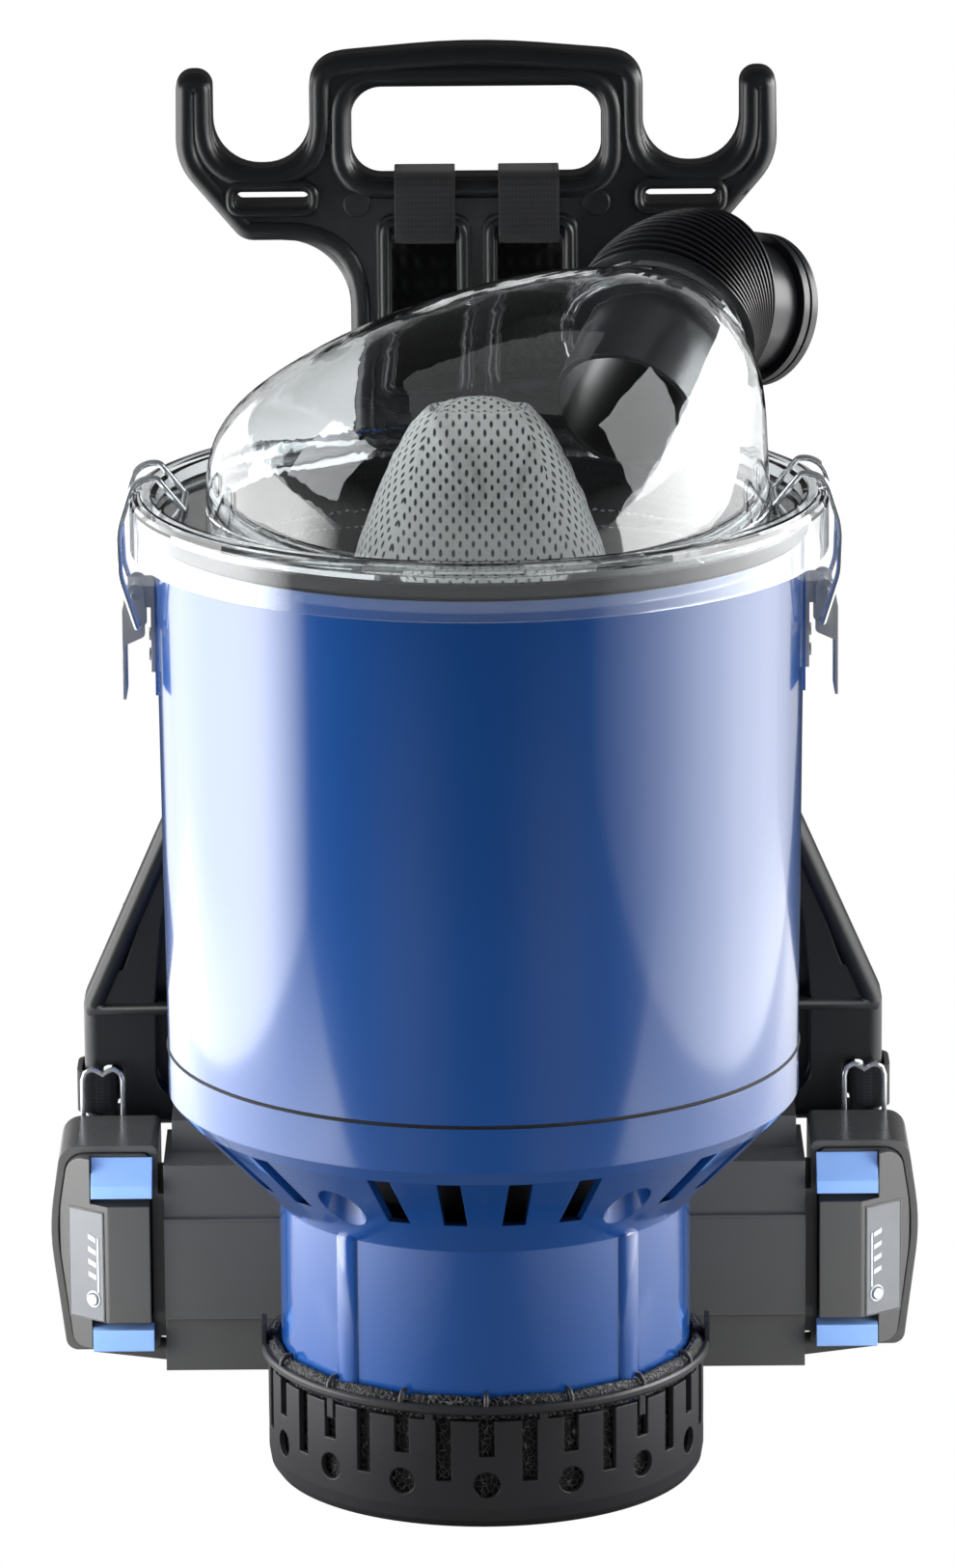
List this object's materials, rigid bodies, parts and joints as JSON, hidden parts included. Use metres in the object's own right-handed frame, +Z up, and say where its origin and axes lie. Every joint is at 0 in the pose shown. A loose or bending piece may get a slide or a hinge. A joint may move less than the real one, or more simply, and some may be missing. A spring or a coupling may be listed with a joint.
{
  "type": "backpack vacuum cleaner",
  "caption": "Battery backpack vacuum cleaner: blue canister under a clear dome lid, swivel hose elbow, motor housing, battery dock and harness frame with pads.",
  "frame": {"origin": "the centre of the round exhaust basket's foot, on the canister's axis, at floor level", "axes": "+Z up along the canister's axis, -Y towards the front with the canister, +Y towards the wearer's back, +X to the right as seen from the front"},
  "size_m": [0.3484, 0.3356, 0.5394],
  "materials": {
    "frame": "fine moulded texture",
    "tank": "glossy moulded",
    "housing": "moulded",
    "seal": "soft moulded",
    "basket": "semi-gloss moulded",
    "foam": "open-cell foam",
    "dock": "glossy moulded",
    "clear": "clear polished",
    "elbow": "semi-gloss moulded",
    "cuff": "knit cloth",
    "filter": "perforated knit",
    "cage": "moulded",
    "webbing": "woven",
    "padding": "padded mesh cloth",
    "panel": "printed film",
    "button": "moulded",
    "release": "satin moulded",
    "contacts": "plated",
    "board": "laminate",
    "motor": "painted laminations",
    "shaft": "ground",
    "steel": "pressed sheet",
    "wire": "drawn and polished"
  },
  "bodies": {
    "canister": {"harness_frame": "frame", "tank_shell": "tank", "motor_housing": "tank", "motor_deck": "housing", "deck_seal": "seal", "exhaust_basket": "basket", "exhaust_foam": "foam", "dock_housing": "dock", "dome_lid": "clear", "lid_seal": "seal", "elbow_seal": "seal", "filter_cuff": "cuff", "filter_cone": "filter", "filter_cage": "cage", "upper_strap_left": "webbing", "upper_strap_right": "webbing", "shoulder_pad_left": "padding", "shoulder_pad_right": "padding", "lower_strap_left": "webbing", "lower_strap_right": "webbing", "strap_buckles": "frame", "back_pad": "padding", "waist_pad": "padding", "waist_strap": "webbing", "waist_buckle": "frame", "waist_clip": "frame", "dock_contacts": "contacts", "control_board": "board", "motor_body": "motor", "fan_shroud": "housing", "bearing_upper": "shaft", "bearing_lower": "shaft", "motor_mount": "seal", "motor_foot": "seal", "latch_base_left": "steel", "latch_base_right": "steel", "latch_pins": "steel", "latch_rivets": "steel", "housing_screws": "steel", "frame_screws": "steel"},
    "elbow": {"inlet_elbow": "elbow", "hose_socket": "elbow"},
    "rotor": {"motor_shaft": "shaft", "impeller": "housing"},
    "switch": {"power_switch": "button"},
    "lever_left": {"latch_lever_left": "steel"},
    "bail_left": {"latch_bail_left": "wire"},
    "pack_left": {"battery_left": "dock", "battery_panel_left": "panel"},
    "gauge_left": {"gauge_button_left": "button"},
    "upper_tab_left": {"release_upper_left": "release"},
    "lower_tab_left": {"release_lower_left": "release"},
    "lever_right": {"latch_lever_right": "steel"},
    "bail_right": {"latch_bail_right": "wire"},
    "pack_right": {"battery_right": "dock", "battery_panel_right": "panel"},
    "gauge_right": {"gauge_button_right": "button"},
    "upper_tab_right": {"release_upper_right": "release"},
    "lower_tab_right": {"release_lower_right": "release"}
  },
  "joints": [
    {"name": "elbow_swivel", "type": "hinge", "parent": "canister", "child": "elbow", "pos_m": [0.0692, 0.0372, 0.4409], "axis": [0.3187, 0.8217, 0.4726], "range_deg": [-150, 150]},
    {"name": "rotor_spin", "type": "hinge", "parent": "canister", "child": "rotor", "pos_m": [0, 0, 0.1], "axis": [0, 0, 1], "continuous": true},
    {"name": "power_rocker", "type": "hinge", "parent": "canister", "child": "switch", "pos_m": [0, 0.112, 0.0142], "axis": [1, 0, 0], "range_deg": [-12, 12]},
    {"name": "latch_left", "type": "hinge", "parent": "canister", "child": "lever_left", "pos_m": [-0.1322, 0, 0.3525], "axis": [0, 1, 0], "range_deg": [0, 150]},
    {"name": "bail_swing_left", "type": "hinge", "parent": "lever_left", "child": "bail_left", "pos_m": [-0.1314, 0, 0.3407], "axis": [0, 1, 0], "range_deg": [-150, 0]},
    {"name": "battery_slide_left", "type": "slide", "parent": "canister", "child": "pack_left", "axis": [0, -1, 0], "range_m": [0, 0.06]},
    {"name": "gauge_press_left", "type": "slide", "parent": "pack_left", "child": "gauge_left", "axis": [0.5872, 0.8095, 0], "range_m": [0, 0.0008], "stiffness_N_per_m": 400, "springref_m": -0.001},
    {"name": "upper_release_left", "type": "slide", "parent": "pack_left", "child": "upper_tab_left", "axis": [0, 0, -1], "range_m": [0, 0.003], "stiffness_N_per_m": 600, "springref_m": -0.002},
    {"name": "lower_release_left", "type": "slide", "parent": "pack_left", "child": "lower_tab_left", "axis": [0, 0, 1], "range_m": [0, 0.003], "stiffness_N_per_m": 600, "springref_m": -0.002},
    {"name": "latch_right", "type": "hinge", "parent": "canister", "child": "lever_right", "pos_m": [0.1322, 0, 0.3525], "axis": [0, -1, 0], "range_deg": [0, 150]},
    {"name": "bail_swing_right", "type": "hinge", "parent": "lever_right", "child": "bail_right", "pos_m": [0.1314, 0, 0.3407], "axis": [0, -1, 0], "range_deg": [-150, 0]},
    {"name": "battery_slide_right", "type": "slide", "parent": "canister", "child": "pack_right", "axis": [0, -1, 0], "range_m": [0, 0.06]},
    {"name": "gauge_press_right", "type": "slide", "parent": "pack_right", "child": "gauge_right", "axis": [-0.5872, 0.8095, 0], "range_m": [0, 0.0008], "stiffness_N_per_m": 400, "springref_m": -0.001},
    {"name": "upper_release_right", "type": "slide", "parent": "pack_right", "child": "upper_tab_right", "axis": [0, 0, -1], "range_m": [0, 0.003], "stiffness_N_per_m": 600, "springref_m": -0.002},
    {"name": "lower_release_right", "type": "slide", "parent": "pack_right", "child": "lower_tab_right", "axis": [0, 0, 1], "range_m": [0, 0.003], "stiffness_N_per_m": 600, "springref_m": -0.002}
  ],
  "couplings": [
    {"joint": "bail_swing_left", "follows": "latch_left", "ratio": -1},
    {"joint": "bail_swing_right", "follows": "latch_right", "ratio": -1}
  ]
}
